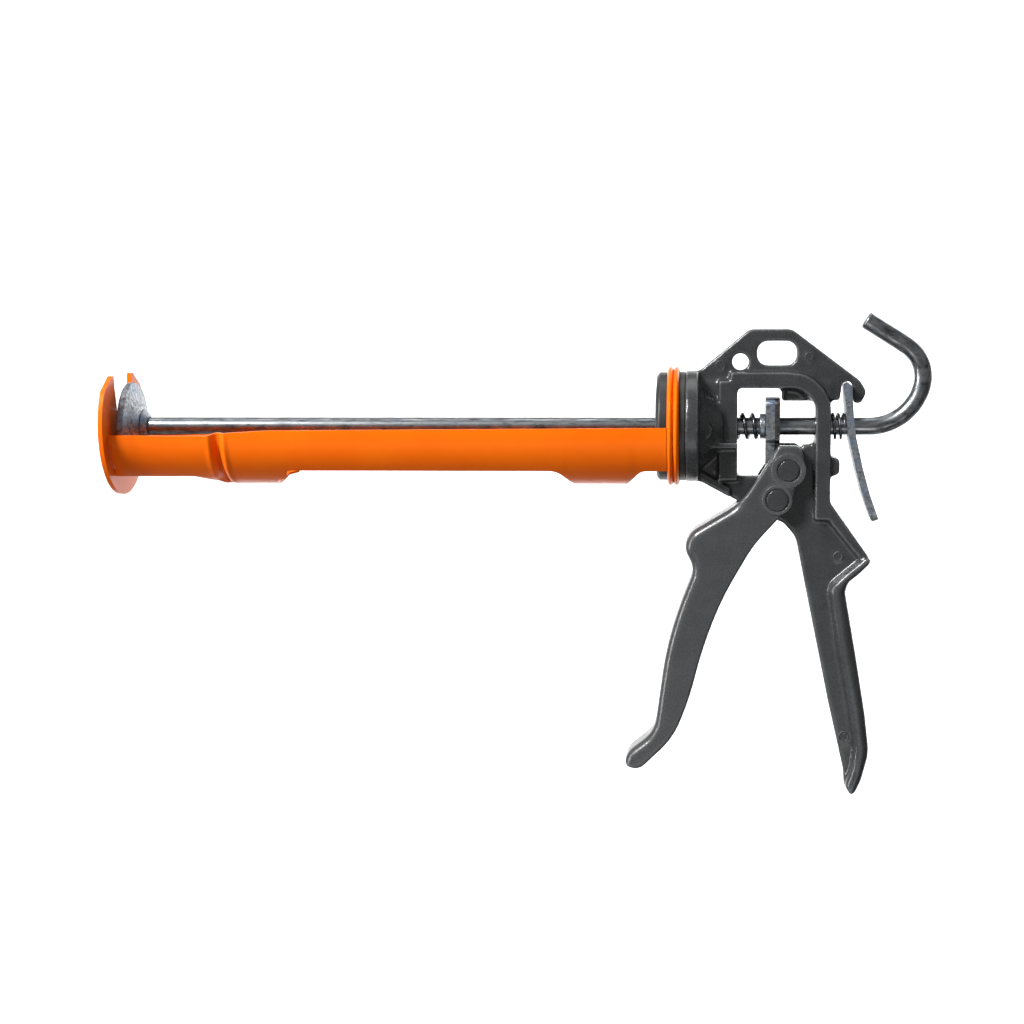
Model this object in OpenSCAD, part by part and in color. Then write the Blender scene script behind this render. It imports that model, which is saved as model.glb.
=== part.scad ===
// Caulking gun with a swivelling open cradle, for one cartridge.
// X runs from the nozzle end to the hook, Y across the gun, Z up.
// The origin is on the push rod's axis, at the rear face of the front plate.

/* [Cradle] */
// Length of the trough, from the front plate to the rear ring
cradle_len = 250.9; // [215:0.1:330]
// Outer radius of the trough behind its crease
cradle_r = 26.3; // [24:0.1:33]
// Thickness of the trough's sheet
sheet_t = 1.2; // [0.8:0.1:1.8]
// Height of the trough's top edge at the front plate
edge_z_front = -2.6; // [-6:0.1:-1]
// Height of the trough's top edge behind the first bridge
edge_z_mid = 0; // [-5:0.1:1]
// Height of the trough's top edge at the rear ring
edge_z_rear = 1.3; // [-5:0.1:2]
// Lower edge of the side rails in front of the crease
front_rail_z = -22.7; // [-23.4:0.1:-16]
// Lower edge of the side rails behind the crease
rail_z = -18.7; // [-21:0.1:-12]
// Radial step of the trough down to its narrower front length
front_step = 0.8; // [0.4:0.1:1.5]
// Distance of the crease from the front plate
crease_x = 49.3; // [38:0.1:60]
// Depth of the crease below the narrower front length
crease_depth = 1.5; // [0.5:0.1:2]
// Length of each bridge that joins the two rails
bridge_len = 23.3; // [16:0.1:30]

/* [Front plate] */
// Thickness of the pressed front plate
plate_t = 2; // [1.5:0.1:3]
// How far the front plate stands out past the trough
plate_rim = 5.2; // [3:0.1:8]
// Radius of the round bottom of the nozzle slot
slot_r = 9.5; // [8:0.1:11]
// Half width of the nozzle slot at its mouth
slot_mouth = 12; // [11.5:0.1:15]
// Height of the two horns beside the slot
horn_z = 23.7; // [18:0.1:25]

/* [Swivel] */
// Width of the ring at the cradle's rear end
ring_w = 5.4; // [4.8:0.1:8]
// Thickness of the cradle's end plate
end_plate_t = 2.2; // [1.5:0.1:2.6]
// Thickness of the bush behind the end plate
rear_bush_t = 2.8; // [2:0.1:5]
// Thickness of the bush in front of the end plate
front_bush_t = 7.8; // [6:0.1:12]
// Radius of the frame's spigot that carries both bushes
spigot_r = 9; // [7.5:0.1:11]
// Wall of the front bush's sleeve, on which the cradle turns
sleeve_wall = 2.5; // [2:0.1:4]

/* [Push rod] */
// Radius of the push rod
rod_r = 4; // [3.2:0.1:5]
// Radius of the rod's threaded front end
stud_r = 3; // [2.5:0.1:3.1]
// Radius of the hook's first, wide bend
hook_r1 = 24; // [20:0.5:30]
// Radius of the hook's second, tighter bend
hook_r2 = 17; // [12:0.5:19]
// Length of the hook's straight end
hook_tip_len = 22; // [12:0.5:30]

/* [Piston] */
// Radius of the piston disc
piston_r = 20; // [18:0.1:22]
// Thickness of the piston's metal
piston_t = 1.5; // [1:0.1:2]
// Width of the piston's rim
rim_w = 3; // [2:0.1:5]
// Free space between the front plate and the piston
piston_gap = 2.7; // [1:0.1:4]
// Depth of the piston's dish, from its rim to its flat middle
dish_depth = 5.1; // [3.5:0.1:7]

/* [Frame] */
// Thickness of the web between the trigger's cheeks, and of the handle
web_t = 8; // [6:0.1:10]
// Thickness of the fin above the window
fin_t = 6; // [5:0.1:7.8]
// Width of the post and of the bar over the window
post_w = 15; // [12:0.5:18]
// Width of the handle's rear flange
flange_w = 19; // [15:0.5:24]
// Thickness of the round flange at the frame's front end
flange_t = 6; // [4:0.1:8]
// Radius of the round hang hole
hang_r = 3.75; // [2.5:0.05:4.5]

/* [Trigger] */
// Width of the trigger across its cheeks
trigger_w = 20; // [17:0.5:24]
// Radius of the trigger's pivot pin
pivot_r = 3; // [2.4:0.1:3.6]
// Radius of the pin that carries the drive roller
drive_pin_r = 2.5; // [1.8:0.1:3]
// Outer radius of the drive roller
roller_r = 3.9; // [3.4:0.1:4.8]
// Distance from the trigger's pivot up to the drive roller
drive_arm = 14.2; // [13.6:0.1:17.2]

/* [Grip plates and release lever] */
// Thickness of the front grip plate
front_plate_t = 4; // [3:0.1:5]
// Thickness of the rear grip plate
rear_plate_t = 2.3; // [1.8:0.1:2.8]
// Width of the grip plates above the trigger
grip_w = 16; // [13:0.5:20]
// Thickness of the release lever
lever_t = 3.2; // [2:0.1:3.4]
// Width of the release lever
lever_w = 19; // [14:0.5:22]

/* [Springs] */
// Radius of the drive spring's wire
drive_wire_r = 0.8; // [0.4:0.05:0.8]
// Radius of the release spring's wire
release_wire_r = 0.6; // [0.4:0.05:0.65]
// Number of turns of the drive spring
drive_turns = 3; // [2:0.5:3]
// Number of turns of the release spring
release_turns = 2.5; // [2:0.5:2.5]
// Depth of the pocket in the frame that seats the drive spring
pocket_d = 3; // [2:0.1:4]

/* [Hidden] */
$fn = 72;

orange = "#F07A1A";
dark_grey = "#454647";
black = "#1D1E1E";
zinc = "#B4B8BB";
steel = "#8B8E90";
spring_steel = "#55585A";

// Fits and gaps
rod_fit = 0.1;
pin_fit = 0.06;
swivel_fit = 0.1;
free_gap = 0.3;
side_gap = 0.4;
plate_fit = 0.3;

// Places along the gun
trough_in_r = cradle_r - sheet_t;
ring_end = cradle_len + ring_w;
end_plate_x = ring_end - 0.4 - end_plate_t;
rear_bush_x = end_plate_x + end_plate_t + free_gap;
frame_x = rear_bush_x + rear_bush_t;
front_bush_x = end_plate_x - free_gap - front_bush_t;
bush_r = trough_in_r - 0.7;
ring_in_r = trough_in_r - 0.2;
sleeve_r = spigot_r + pin_fit + sleeve_wall;
flange_r = cradle_r - 1.1;

// Bridges and blends of the trough, along the gun
bridge1_x = crease_x;
bridge1_end = bridge1_x + bridge_len;
bridge2_x = cradle_len - 41.9;
bridge2_end = bridge2_x + bridge_len;
edge_blend = 7;

// Places in the frame: x from the flange's front face, z from the rod's axis
window_l = 23.2;
window_r = 57.9;
window_top = 17.1;
window_step_z = 11.5;
window_floor = -22.3;
shelf_z = -8;
post_l = 58;
post_r = 65;
bar_r = 18;
bar_thick = post_r - post_l;
pivot = [41.2, -32.4];
drive_lean = 20.6;
drive = pivot + drive_arm * [sin(drive_lean), cos(drive_lean)];
boss_gap = 0.6;
web_half = web_t / 2;
cheek_in = web_half + side_gap;

// Coils round the rod
drive_coil_r = rod_r + 0.55 + drive_wire_r;
release_coil_r = rod_r + 0.95 + release_wire_r;
pocket_r = drive_coil_r + drive_wire_r + 0.4;

// Grip plates, just in front of the roller
plate_back = drive[0] - roller_r - 0.1;
plate_mid = plate_back - rear_plate_t;
plate_front = plate_mid - front_plate_t;
seat_t = 2.6;
seat_x = plate_front - seat_t;
grip_top = 13;
grip_shoulder = -6;
window_step_x = plate_back + 0.8;
tail_w = web_t - 0.4;
tail_end = drive[1] - 2.5;
roller_floor = drive[1] - roller_r - 1.4;

// Release lever
lever_top = [72.2, 18];
lever_hole_r = rod_r + 0.75;
release_len = 6.8;
stop_x = post_r + 4.2;

// Hook
hook_x = 82.3;
hook_join = -16;
hook_lean = 57.6;
hook_c1 = [hook_x, hook_r1];
hook_c2 = hook_c1 + (hook_r1 - hook_r2) * [cos(hook_join), sin(hook_join)];
hook_end = hook_c2 + hook_r2 * [cos(hook_lean), sin(hook_lean)];
// Bending thins the rod a little, and each length reaches this far into the next
bend_thin = 0.02;
bend_lap = 0.1;

// Piston
rim_x = piston_gap;
dish_x = rim_x + dish_depth;
hub_x = dish_x + piston_t;
hub_len = 2.6;
dish_flat_r = 6.8;
washer_r = dish_flat_r - 0.4;
washer_t = 1.2;
nut_t = 4;
nut_r = 5.8;
stud_x = dish_x - washer_t - nut_t - 0.8;

// Points of a polygon whose corners [x, y, radius] are rounded by arcs
function unit(v) = v / norm(v);
function corner(p, q, s, n = 6) =
    q[2] == 0 ? [[q[0], q[1]]] :
    let (c = [q[0], q[1]],
         u = unit([p[0], p[1]] - c),
         v = unit([s[0], s[1]] - c),
         half = acos(max(-1, min(1, u * v))) / 2,
         m = c + unit(u + v) * q[2] / sin(half),
         a = c + u * q[2] / tan(half) - m,
         b = c + v * q[2] / tan(half) - m,
         a0 = atan2(a[1], a[0]),
         turn = atan2(a[0] * b[1] - a[1] * b[0], a * b))
    [for (i = [0 : n]) m + q[2] * [cos(a0 + turn * i / n), sin(a0 + turn * i / n)]];
function rounded(pts, n = 6) =
    let (k = len(pts))
    [for (i = [0 : k - 1]) each corner(pts[(i + k - 1) % k], pts[i], pts[(i + 1) % k], n)];

// An outline in X and Z, of thickness w across the gun
module side_plate(w, pts) {
    rotate([90, 0, 0])
        linear_extrude(height = w, center = true)
            polygon(rounded(pts));
}
// An outline in Y and Z, from x along the gun
module cross_plate(x, t) {
    translate([x, 0, 0])
        rotate([90, 0, 90])
            linear_extrude(height = t)
                children();
}
// A round bar along the gun
module x_bar(x, r, len) {
    translate([x, 0, 0])
        rotate([0, 90, 0])
            cylinder(r = r, h = len);
}
// A round bar across the gun, at p = [x, z]
module y_bar(p, r, w) {
    translate([p[0], 0, p[1]])
        rotate([90, 0, 0])
            cylinder(r = r, h = w, center = true);
}
// A solid of revolution about the rod's axis: the outline is [radius, x]
module turned(pts) {
    rotate([0, 90, 0])
        rotate_extrude()
            polygon(pts);
}
module in_frame() {
    translate([frame_x, 0, 0])
        children();
}

// ---- Cradle ----

module cradle_trough() {
    fr = cradle_r - front_step;
    valley = fr - crease_depth;
    bottom = 0.4 - cradle_r;
    color(orange)
        difference() {
            turned([[fr - sheet_t, 0], [fr, 0], [fr, crease_x - 3], [valley, crease_x],
                    [cradle_r, crease_x + 4], [cradle_r, cradle_len],
                    [trough_in_r, cradle_len], [trough_in_r, crease_x + 4],
                    [valley - sheet_t, crease_x], [fr - sheet_t, crease_x - 3]]);
            // Open top
            side_plate(4 * cradle_r,
                [[-1, edge_z_front, 0], [crease_x - 4, edge_z_front, 1],
                 [crease_x + 1, edge_z_front + 1.2, 2], [bridge1_end, edge_z_mid, 20],
                 [cradle_len + 1, edge_z_rear, 0],
                 [cradle_len + 1, 2 * cradle_r, 0], [-1, 2 * cradle_r, 0]]);
            // Open bottom in front of the first bridge
            side_plate(4 * cradle_r,
                [[-1, front_rail_z, 0], [crease_x - 13, front_rail_z, 10],
                 [bridge1_x, bottom, 1],
                 [bridge1_x + 1, -2 * cradle_r, 0], [-1, -2 * cradle_r, 0]]);
            // Open bottom between the bridges, with its stepped front corner
            side_plate(4 * cradle_r,
                [[bridge1_end, -2 * cradle_r, 0],
                 [bridge1_end + 0.3, bottom, 0], [bridge1_end + 1.2, bottom + 2.6, 1],
                 [bridge1_end + 5.2, bottom + 3, 1.2], [bridge1_end + 7.4, rail_z, 1.6],
                 [bridge2_x - edge_blend, rail_z, 9],
                 [bridge2_x, bottom, 1.5], [bridge2_x + 1, -2 * cradle_r, 0]]);
            // Open bottom behind the second bridge
            side_plate(4 * cradle_r,
                [[bridge2_end, -2 * cradle_r, 0], [bridge2_end, bottom, 1.5],
                 [bridge2_end + edge_blend, rail_z, 6],
                 [cradle_len + 1, rail_z, 0], [cradle_len + 1, -2 * cradle_r, 0]]);
            // Gap between the welds at the front plate
            side_plate(4 * cradle_r,
                [[-1, -6, 0], [1.2, -7.5, 0], [1.2, -18, 0], [-1, -19.5, 0]]);
        }
}

module front_plate() {
    r = cradle_r + plate_rim;
    horn_lean = 0.6;
    horn_out = slot_mouth + horn_lean + 3.2;
    shoulder = r * [cos(33.6), sin(33.6)];
    color(orange)
        cross_plate(-plate_t, plate_t)
            difference() {
                circle(r = r);
                circle(r = slot_r);
                polygon(rounded([[-slot_r, 0, 0], [slot_r, 0, 0],
                                 [slot_r, slot_r * 0.9, 6], [slot_mouth, horn_z - 5, 3],
                                 [slot_mouth + horn_lean, horn_z, 0], [slot_mouth + horn_lean, r, 0],
                                 [-slot_mouth - horn_lean, r, 0], [-slot_mouth - horn_lean, horn_z, 0],
                                 [-slot_mouth, horn_z - 5, 3], [-slot_r, slot_r * 0.9, 6]]));
                translate([-r, horn_z])
                    square([2 * r, r]);
                // Sloping outer edge of each horn, down to the plate's round rim
                for (s = [-1, 1])
                    polygon(rounded([[s * (horn_out - 0.6), horn_z + 1, 0],
                                     [s * horn_out, horn_z - 0.4, 1.2],
                                     [s * shoulder[0], shoulder[1], 0],
                                     [s * (r + 2), shoulder[1] - 3.5, 0],
                                     [s * (r + 2), horn_z + 1, 0]]));
            }
}

module rear_ring() {
    bead = ring_w / 4;
    color(orange)
        rotate([0, 90, 0])
            rotate_extrude()
                intersection() {
                    translate([ring_in_r, cradle_len])
                        square([6, ring_w]);
                    union() {
                        translate([ring_in_r, cradle_len])
                            square([cradle_r - ring_in_r - 0.3, ring_w]);
                        for (k = [1, 3])
                            translate([cradle_r - 0.75, cradle_len + k * bead])
                                circle(r = bead);
                    }
                }
}

module cradle_end_plate() {
    color(orange)
        difference() {
            x_bar(end_plate_x, ring_in_r, end_plate_t);
            x_bar(end_plate_x - 1, sleeve_r + swivel_fit, end_plate_t + 2);
        }
}

// ---- Swivel, fixed to the frame ----

module front_bush() {
    dome = 1.6;
    bore = spigot_r + pin_fit;
    recess_r = spigot_r + 3.5;
    recess_x = front_bush_x + 2.5;
    rear = end_plate_x - free_gap;
    color(black)
        turned([[recess_r, front_bush_x], [bush_r - 4, front_bush_x + 0.2],
                [bush_r - 1, front_bush_x + dome - 0.6], [bush_r, front_bush_x + dome + 0.6],
                [bush_r, rear], [sleeve_r, rear], [sleeve_r, rear_bush_x],
                [bore, rear_bush_x], [bore, recess_x], [recess_r, recess_x]]);
}

module rear_bush() {
    color(black)
        difference() {
            x_bar(rear_bush_x, bush_r + 0.2, rear_bush_t);
            x_bar(rear_bush_x - 1, spigot_r + pin_fit, rear_bush_t + 2);
        }
}

module retaining_ring() {
    t = 1.2;
    x = front_bush_x + 2.5 - t - 0.02;
    color(steel)
        difference() {
            x_bar(x, spigot_r + 2.6, t);
            x_bar(x - 1, spigot_r - 1 + pin_fit, t + 2);
            translate([x - 1, -1.75, 0])
                cube([t + 2, 3.5, 2 * spigot_r]);
        }
}

// ---- Frame casting ----

module fin() {
    difference() {
        side_plate(fin_t,
            [[3, 14, 0], [6, 25, 1], [28.5, 43.7, 5], [47.5, 43.7, 6], [77.9, 20.7, 3.5],
             [81, 15.5, 3], [78.4, 10.3, 2.2], [75.2, 10.4, 0.8], [75, 11.7, 0],
             [60, 11.7, 0], [56, 17, 0], [20, 14, 0]]);
        // Notch that holds the release lever's upper end
        side_plate(2 * post_w,
            [[lever_top[0] - lever_t / 2 - 2, 9, 0],
             [lever_top[0] + lever_t / 2 + 1.3, 9, 0],
             [lever_top[0] + lever_t / 2 + 0.5, 20.2, 0.8],
             [lever_top[0] - lever_t / 2 - 0.5, 20.2, 0.8]]);
        // Hang holes
        y_bar([24.5, 29.1], hang_r, 2 * fin_t);
        side_plate(2 * fin_t,
            [[32, 27.5, 4.5], [49.7, 27.5, 4.5], [49.7, 38.3, 4.5], [32, 38.3, 4.5]]);
    }
}

// The bar over the window, which bends down into the rear post
module post_bar() {
    c = [post_r - bar_r, 24.5 - bar_r];
    rotate([90, 0, 0])
        linear_extrude(height = post_w, center = true)
            union() {
                translate([20, c[1] + bar_r - bar_thick])
                    square([c[0] - 20, bar_thick]);
                intersection() {
                    difference() {
                        translate(c)
                            circle(r = bar_r);
                        translate(c)
                            circle(r = bar_r - bar_thick);
                    }
                    translate(c)
                        square([bar_r, bar_r]);
                }
                translate([post_l, -42])
                    square([bar_thick, 42 + c[1]]);
            }
}

module neck() {
    x_bar(front_bush_x + 0.8 - frame_x, spigot_r, frame_x - front_bush_x);
    x_bar(0, flange_r, flange_t);
    translate([flange_t, 0, 0])
        rotate([0, 90, 0])
            cylinder(r1 = 0.78 * flange_r, r2 = 10.5, h = 11);
    // Cheek at the window, which seats the drive spring
    side_plate(post_w, [[15, -24, 0], [window_l, -24, 0], [window_l, 21, 0], [15, 21, 0]]);
    // Side ribs between the flange and the cheek
    translate([3, -13, -9])
        cube([window_l - 3, 26, 2.6]);
    for (s = [-1, 1])
        translate([0, s * 10.5, 0])
            side_plate(3, [[3, 6, 0], [10.5, 8.5, 0], [6.5, 20, 0], [3, 20, 0]]);
    // Boss beside the rod
    y_bar([8.3, -0.9], 3.8, 34);
    // Lower arm
    side_plate(post_w - 2, [[3, -20, 0], [3, -23, 0], [6, -24.2, 0], [20, -31.8, 0],
                            [20, -27.5, 0], [7, -20, 0]]);
}

module web() {
    side_plate(web_t,
        [[2, 20, 0], [2, -22, 0], [6, -24.2, 0], [38, -41.5, 5], [44, -43.4, 4],
         [49.7, -50, 9], [53.2, -67.4, 50], [65, -125.4, 60], [72.4, -158, 8],
         [72.8, -165, 3], [76.2, -170.6, 2], [80.5, -162, 8], [83.8, -149, 20],
         [81.8, -131, 60], [77.2, -103, 80], [72.2, -73.5, 4], [73.5, -70, 2.5],
         [78.5, -66.4, 2], [83.9, -60.8, 2], [post_r, -34, 4], [post_r, 20, 0]]);
    // Marks left by the mould's ejectors
    for (p = [[14.3, -18.4], [69, -59], [73, -143.5]])
        y_bar(p, 2.3, web_t + 0.8);
}

// The handle's rear flange, with the horn that keeps the hand down
module handle_flange() {
    side_plate(flange_w,
        [[64.6, -72, 6], [76, -62.4, 3], [81.6, -57.6, 1.5], [84, -60.8, 2],
         [78.5, -66.4, 3], [73.5, -70.4, 3], [72.2, -75, 4],
         [77.2, -103, 80], [81.8, -131, 60], [83.9, -149, 20], [80.5, -162, 8],
         [76.6, -170.4, 1.8], [72.9, -164.5, 2], [75.8, -156, 6], [76.8, -146, 14],
         [74.3, -129, 40], [68.4, -98, 60]]);
    // Wall from the post down to the horn
    side_plate(post_w,
        [[post_l, -30, 0], [post_r, -30, 0], [post_r, -34, 4], [84, -60.8, 2],
         [79.5, -61, 2], [61, -38, 4], [post_l, -38, 0]]);
}

module frame_casting() {
    color(dark_grey)
        in_frame()
            difference() {
                union() {
                    neck();
                    fin();
                    post_bar();
                    web();
                    handle_flange();
                    for (p = [[15.5, 27.5], [55, 31.5]])
                        y_bar(p, 2.3, fin_t + 0.8);
                    // Stop of the release lever
                    side_plate(11, [[post_r - 2, -13.6, 0], [stop_x, -13.8, 2.2],
                                    [stop_x, -21.6, 2.2], [post_r - 2, -22.6, 0]]);
                }
                // Window, with the drive roller's room behind the trigger's cheeks
                side_plate(2 * flange_w,
                    [[window_l, window_floor, 1.5], [34, window_floor, 1],
                     [35.5, roller_floor, 1], [drive[0] + roller_r + 1.2, roller_floor, 2],
                     [drive[0] + roller_r + 1.2, shelf_z - 1.6, 0.8],
                     [drive[0] + roller_r + 2.8, shelf_z, 0.8],
                     [window_r, shelf_z, 2.5], [window_r, window_step_z, 2],
                     [window_step_x, window_step_z, 0.6], [window_step_x, window_top, 1.5],
                     [window_l, window_top, 1.5]]);
                // Room for the trigger's cheeks beside the web
                for (s = [-1, 1])
                    translate([0, s * (cheek_in + trigger_w / 2), 0])
                        side_plate(trigger_w, [[24.2, -45, 0], [24.2, -7, 0],
                                               [window_r - 0.6, -7, 0], [window_r - 0.6, -45, 0]]);
                // Recess over the window, beside the bent bar
                for (s = [-1, 1])
                    translate([0, s * (2.2 + post_w / 2), 0])
                        side_plate(post_w, [[window_step_x + 1, 10, 0], [window_r, 5, 0],
                                            [57, 10, 6], [51, 16.4, 6],
                                            [window_step_x + 1, 17.3, 2]]);
                x_bar(-frame_x, rod_r + rod_fit, 2 * frame_x);
                x_bar(window_l - pocket_d, pocket_r, pocket_d + 1);
                y_bar(pivot, pivot_r + pin_fit, 2 * trigger_w);
                // Groove of the retaining ring
                translate([front_bush_x + 1.25 - frame_x, 0, 0])
                    rotate([0, 90, 0])
                        difference() {
                            cylinder(r = spigot_r + 2, h = 1.26);
                            translate([0, 0, -1])
                                cylinder(r = spigot_r - 1, h = 4);
                        }
            }
}

// ---- Trigger ----

module trigger_pivot_pin() {
    head_y = trigger_w / 2 + boss_gap - 0.8 + 0.2;
    color(steel)
        in_frame() {
            y_bar(pivot, pivot_r, 2 * head_y);
            for (s = [-1, 1])
                translate([0, s * (head_y + 0.5), 0])
                    y_bar(pivot, 4.8, 1);
        }
}

module trigger_casting() {
    outer = [[41.5, -8.1, 0.8], [38.4, -13.5, 80], [25.4, -33.6, 30], [2.4, -47.3, 9],
             [-1, -54.6, 8], [4.1, -64.4, 10], [-3.7, -84, 180], [-9.2, -104, 150],
             [-14.2, -140, 14], [-26.4, -149.6, 9], [-28.4, -156, 2.6],
             [-21, -157.6, 6], [-5.2, -142.5, 40], [2, -124, 150], [8, -100.5, 200],
             [16.5, -78, 140], [30.6, -53.4, 60], [45.5, -37, 15],
             [49, -30.5, 3], [50, -25.5, 1.5], [54, -19.5, 6], [52.5, -10.5, 3], [50, -8.1, 2]];
    inner = [[15, 5, 0], [15, -30.6, 0], [27.6, -37.3, 1], [6.8, -50.2, 6],
             [4.6, -54.9, 5], [9.1, -64.6, 10], [1.3, -85.5, 250], [-4.2, -105, 150],
             [-9.4, -141, 11], [-14, -146.5, 6], [-10, -160, 0],
             [30, -120, 0], [70, -50, 0], [70, 5, 0]];
    color(dark_grey)
        in_frame()
            difference() {
                union() {
                    side_plate(trigger_w, outer);
                    y_bar(drive, 7.8, trigger_w + 2 * boss_gap);
                    y_bar(pivot, 6.8, trigger_w + 2 * boss_gap);
                }
                side_plate(2 * cheek_in, inner);
                y_bar(drive, drive_pin_r + pin_fit, 2 * trigger_w);
                y_bar(pivot, pivot_r + pin_fit, 2 * trigger_w);
                for (p = [drive, pivot], s = [-1, 1])
                    translate([0, s * (trigger_w / 2 + boss_gap), 0])
                        y_bar(p, 5.4, 1.6);
            }
}

module drive_pin() {
    head_y = trigger_w / 2 + boss_gap - 0.8;
    color(steel)
        in_frame() {
            y_bar(drive, drive_pin_r, 2 * head_y);
            for (s = [-1, 1])
                translate([0, s * (head_y + 0.5), 0])
                    y_bar(drive, 4.7, 1);
        }
}

module drive_roller() {
    color(steel)
        in_frame()
            difference() {
                y_bar(drive, roller_r, 2 * cheek_in - 0.4);
                y_bar(drive, drive_pin_r + pin_fit, 2 * trigger_w);
            }
}

// ---- Grip plates ----

// A plate with a wide head round the rod and a narrow tail before the roller
module grip_plate(x, t) {
    difference() {
        cross_plate(x, t)
            polygon(rounded([[-grip_w / 2, grip_top, 3], [grip_w / 2, grip_top, 3],
                             [grip_w / 2, grip_shoulder, 1.5],
                             [tail_w / 2, grip_shoulder - 1, 1],
                             [tail_w / 2, tail_end, 1], [-tail_w / 2, tail_end, 1],
                             [-tail_w / 2, grip_shoulder - 1, 1],
                             [-grip_w / 2, grip_shoulder, 1.5]]));
        x_bar(x - 1, rod_r + plate_fit, t + 2);
    }
}

module grip_plate_front() {
    color(zinc)
        in_frame()
            grip_plate(plate_front, front_plate_t);
}

module grip_plate_rear() {
    color(steel)
        in_frame()
            grip_plate(plate_mid, rear_plate_t);
}

module spring_seat() {
    color(zinc)
        in_frame()
            difference() {
                x_bar(seat_x, drive_coil_r + 0.4, seat_t);
                x_bar(seat_x - 1, rod_r + plate_fit, seat_t + 2);
            }
}

// ---- Springs ----

// A coil round the rod, from x0 to x1, as rings of points along a helix
module coil(x0, x1, coil_r, wire_r, turns) {
    sides = 8;
    steps = round(20 * turns);
    pts = [for (i = [0 : steps], j = [0 : sides - 1])
           let (a = 360 * turns * i / steps,
                b = 360 * j / sides,
                r = coil_r + wire_r * cos(b),
                x = x0 + wire_r + (x1 - x0 - 2 * wire_r) * i / steps + wire_r * sin(b))
           [x, r * cos(a), r * sin(a)]];
    walls = [for (i = [0 : steps - 1], j = [0 : sides - 1])
             let (k = (j + 1) % sides)
             [i * sides + j, i * sides + k, (i + 1) * sides + k, (i + 1) * sides + j]];
    ends = [[for (j = [sides - 1 : -1 : 0]) j],
            [for (j = [0 : sides - 1]) steps * sides + j]];
    polyhedron(points = pts, faces = concat(walls, ends), convexity = 6);
}

module drive_spring() {
    color(spring_steel)
        in_frame()
            coil(window_l - pocket_d + 0.02, seat_x - 0.02, drive_coil_r, drive_wire_r, drive_turns);
}

module release_spring() {
    color(spring_steel)
        in_frame()
            coil(post_r + 0.02, post_r + release_len, release_coil_r, release_wire_r,
                 release_turns);
}

// ---- Release lever ----

module release_lever() {
    h = lever_t / 2;
    t = lever_top;
    color(zinc)
        in_frame()
            difference() {
                intersection() {
                    side_plate(lever_w,
                        [[t[0] - h, t[1], 0], [t[0] + h, t[1], 0],
                         [73.9 + h, -2, 60], [77.5 + h, -18, 40], [80.8 + h, -30, 30],
                         [84.9 + h, -41.3, 1], [84.9 - h, -42.4, 1], [80.8 - h, -31, 30],
                         [77.5 - h, -18.6, 40], [73.9 - h, -2.6, 60]]);
                    // Rounded lower corners, seen along the gun
                    cross_plate(60, 40)
                        polygon(rounded([[-lever_w / 2, t[1] + 2, 0], [lever_w / 2, t[1] + 2, 0],
                                         [lever_w / 2, -43.2, 5], [-lever_w / 2, -43.2, 5]]));
                }
                x_bar(60, lever_hole_r, 40);
            }
    // Round upper end, on which the lever rocks in its notch
    color(zinc)
        in_frame()
            y_bar(t, h + 0.02, lever_w);
}

// ---- Push rod and piston ----

// A bend of the hook: a length of ring about c, from angle a0 to a1
module hook_bend(c, r, a0, a1, bar_r) {
    lap = bend_lap / r * 180 / PI;
    translate([c[0], 0, c[1]])
        rotate([90, 0, 0])
            rotate([0, 0, a0 - lap])
                rotate_extrude(angle = a1 - a0 + 2 * lap)
                    translate([r, 0])
                        circle(r = bar_r);
}

module push_rod() {
    shoulder = dish_x + piston_t + 0.05;
    color(zinc) {
        x_bar(stud_x, stud_r, shoulder - stud_x);
        x_bar(shoulder, rod_r, frame_x + hook_x - shoulder);
        in_frame() {
            hook_bend(hook_c1, hook_r1, -90, hook_join, rod_r - bend_thin);
            hook_bend(hook_c2, hook_r2, hook_join, hook_lean, rod_r - 2 * bend_thin);
            translate([hook_end[0], 0, hook_end[1]])
                rotate([0, -hook_lean, 0]) {
                    cylinder(r = rod_r, h = hook_tip_len - 1.2);
                    translate([0, 0, hook_tip_len - 1.2])
                        cylinder(r1 = rod_r, r2 = rod_r - 1.2, h = 1.2);
                }
        }
    }
}

module piston_disc() {
    t = piston_t;
    color(zinc)
        turned([[stud_r + swivel_fit, dish_x], [dish_flat_r, dish_x], [piston_r - 4.4, rim_x + rim_w - t],
                [piston_r - t, rim_x + rim_w - t], [piston_r - t, rim_x], [piston_r, rim_x],
                [piston_r, rim_x + rim_w], [piston_r - 4, rim_x + rim_w], [7.6, dish_x + t],
                [stud_r + swivel_fit, dish_x + t]]);
}

module piston_hub() {
    r = rod_r + swivel_fit;
    x = hub_x + 0.02;
    color(zinc)
        turned([[r, x], [rod_r + 4.2, x], [rod_r + 3, x + 0.4 * hub_len],
                [rod_r + 1.7, x + hub_len], [r, x + hub_len]]);
}

module piston_washer() {
    color(zinc)
        difference() {
            x_bar(dish_x - washer_t - 0.1, washer_r, washer_t);
            x_bar(0, stud_r, 20);
        }
}

module piston_nut() {
    x = dish_x - washer_t - 0.1 - nut_t;
    color(steel)
        difference() {
            translate([x, 0, 0])
                rotate([0, 90, 0])
                    cylinder(r = nut_r, h = nut_t, $fn = 6);
            x_bar(0, stud_r, 20);
        }
}

cradle_trough();
front_plate();
rear_ring();
cradle_end_plate();
front_bush();
rear_bush();
retaining_ring();
frame_casting();
trigger_pivot_pin();
trigger_casting();
drive_pin();
drive_roller();
grip_plate_front();
grip_plate_rear();
spring_seat();
drive_spring();
release_spring();
release_lever();
push_rod();
piston_disc();
piston_hub();
piston_washer();
piston_nut();
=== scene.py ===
import logging
import math
from dataclasses import dataclass, field
from enum import Enum

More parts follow.
